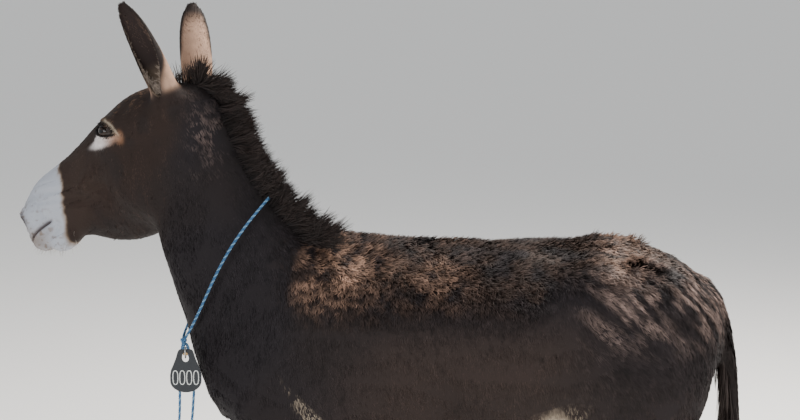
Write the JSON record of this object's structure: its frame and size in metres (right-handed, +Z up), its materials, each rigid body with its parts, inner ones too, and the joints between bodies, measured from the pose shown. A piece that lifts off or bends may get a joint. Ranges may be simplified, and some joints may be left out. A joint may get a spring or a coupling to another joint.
{
  "type": "donkey",
  "caption": "Standing donkey in a dark winter coat, head turned aside, with a rope collar that carries a plain tag.",
  "frame": {"origin": "centre of the bounding box at floor level, under the hooves", "axes": "+X towards the tail, so the animal faces -X; +Y to its right; +Z up"},
  "size_m": [1.7408, 0.634, 1.6627],
  "materials": {
    "coat": "dark brown winter coat, woolly and sun-bleached along the back, near black on the neck, white on the muzzle and round the eyes, pale inside the legs and on the belly",
    "mane": "stiff upright black-brown hair",
    "eye": "wet dark brown eye",
    "horn": "dry dark grey hoof horn",
    "rope": "thin blue twisted cord",
    "tag": "black-green plastic tag with plain white numbers",
    "clip": "bare wire clip"
  },
  "bodies": {
    "root": {"collar_knot": "rope", "collar_rope": "rope", "ear_left": "coat", "ear_right": "coat", "eye_left": "eye", "eye_right": "eye", "head": "coat", "hoof_front_left": "horn", "hoof_front_right": "horn", "hoof_hind_left": "horn", "hoof_hind_right": "horn", "leg_front_left": "coat", "leg_front_right": "coat", "leg_hind_left": "coat", "leg_hind_right": "coat", "mane": "mane", "neck": "coat", "rope_end_1": "rope", "rope_end_2": "rope", "tag": "tag", "tag_clip": "clip", "tail": "coat", "tail_switch": "mane", "trunk": "coat"}
  },
  "joints": []
}
